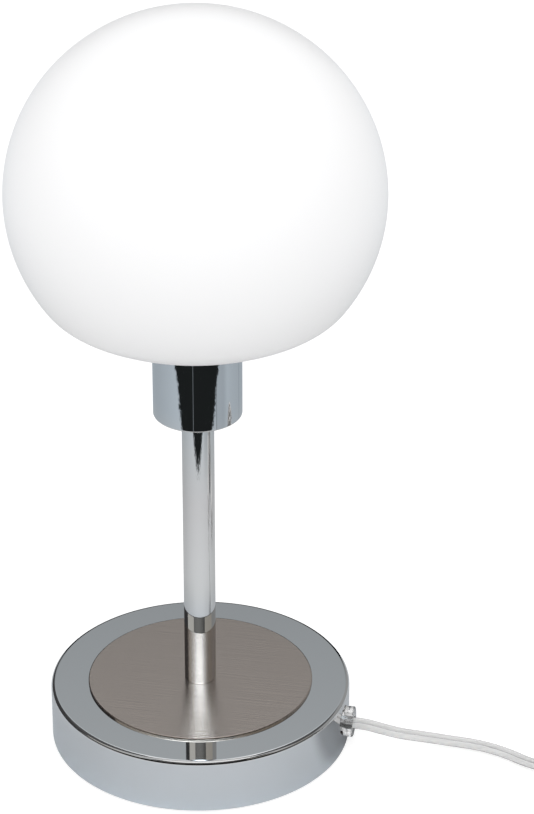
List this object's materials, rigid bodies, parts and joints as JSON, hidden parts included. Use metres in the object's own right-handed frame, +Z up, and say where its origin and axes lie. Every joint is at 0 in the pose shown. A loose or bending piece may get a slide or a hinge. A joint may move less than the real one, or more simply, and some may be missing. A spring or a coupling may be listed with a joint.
{
  "type": "glass globe table lamp",
  "caption": "Table lamp with an opal glass globe in a chrome cup on a chrome stem and a round weighted base, with a clear flex, a rocker switch on it and a flat two-pin plug.",
  "frame": {"origin": "centre of the base's underside, on the surface the lamp stands on", "axes": "+Z up along the stem, +X the way the flex leaves the base"},
  "size_m": [0.3376, 0.1625, 0.3052],
  "materials": {
    "chrome": "polished",
    "satin_steel": "satin, brushed along one direction",
    "iron": "as cast, painted",
    "zinc_steel": "zinc plated",
    "spring_steel": "plain",
    "foam": "matte foam",
    "clear_plastic": "clear",
    "clear_flex": "clear, soft",
    "core_insulation": "soft",
    "white_plastic": "smooth",
    "rocker_plastic": "smooth",
    "holder_plastic": "moulded",
    "ceramic": "glazed",
    "brass": "plain",
    "nickel": "nickel plated",
    "silicone": "soft",
    "opal_glass": "blown, opal",
    "bulb_glass": "frosted",
    "bulb_metal": "pressed",
    "black_glass": "smooth",
    "filament": "coated",
    "solder": "soft",
    "strap": "matte"
  },
  "bodies": {
    "lamp": {"base_pad": "foam", "bottom_plate": "zinc_steel", "base_screws": "zinc_steel", "drum_cover": "chrome", "top_plate": "satin_steel", "ballast_weight": "iron", "threaded_tube": "zinc_steel", "rod_washer": "zinc_steel", "rod_nut": "zinc_steel", "stem_tube": "chrome", "cord_gland": "clear_plastic", "gland_nut": "clear_plastic", "cord_clamp": "white_plastic", "clamp_screws": "zinc_steel", "flex_tail": "clear_flex", "live_lead": "core_insulation", "neutral_lead": "core_insulation", "socket_cup": "chrome", "globe_clip": "spring_steel", "holder_cap": "holder_plastic", "holder_insert": "ceramic", "holder_shell": "holder_plastic", "centre_contact": "brass", "side_contact": "brass", "holder_terminals": "brass", "terminal_screws": "zinc_steel", "globe_gasket": "silicone", "flex_near": "clear_flex", "flex_mid": "clear_flex", "flex_coil": "clear_flex", "flex_end": "clear_flex", "coil_tie": "strap", "switch_base": "white_plastic", "switch_cover": "white_plastic", "rocker_pin": "zinc_steel", "live_in_terminal": "brass", "live_out_terminal": "brass", "neutral_link": "brass", "switch_leads": "core_insulation", "switch_terminal_screws": "zinc_steel", "cord_grips": "white_plastic", "grip_screws": "zinc_steel", "switch_case_screws": "zinc_steel", "plug_body": "white_plastic", "plug_pins": "nickel", "pin_sleeves": "holder_plastic"},
    "globe": {"globe": "opal_glass"},
    "bulb": {"bulb_envelope": "bulb_glass", "bulb_cap": "bulb_metal", "bulb_insulator": "black_glass", "bulb_tip": "solder", "bulb_stem": "bulb_glass", "bulb_filament": "filament"},
    "rocker": {"switch_rocker": "rocker_plastic", "switch_plunger": "white_plastic", "plunger_spring": "spring_steel"},
    "blade": {"contact_blade": "brass"}
  },
  "joints": [
    {"name": "globe_lift", "type": "slide", "parent": "lamp", "child": "globe", "axis": [0, 0, 1], "range_m": [0, 0.08]},
    {"name": "bulb_lift", "type": "slide", "parent": "lamp", "child": "bulb", "axis": [0, 0, 1], "range_m": [0, 0.03]},
    {"name": "switch_rocker", "type": "hinge", "parent": "lamp", "child": "rocker", "pos_m": [0.202, -0.0205, 0.0115], "axis": [0, 1, 0], "range_deg": [0, 20]},
    {"name": "contact_blade", "type": "hinge", "parent": "lamp", "child": "blade", "pos_m": [0.202, -0.0205, 0.0042], "axis": [0, 1, 0], "range_deg": [-12, 0]}
  ],
  "couplings": [
    {"joint": "contact_blade", "follows": "switch_rocker", "ratio": -0.6}
  ]
}
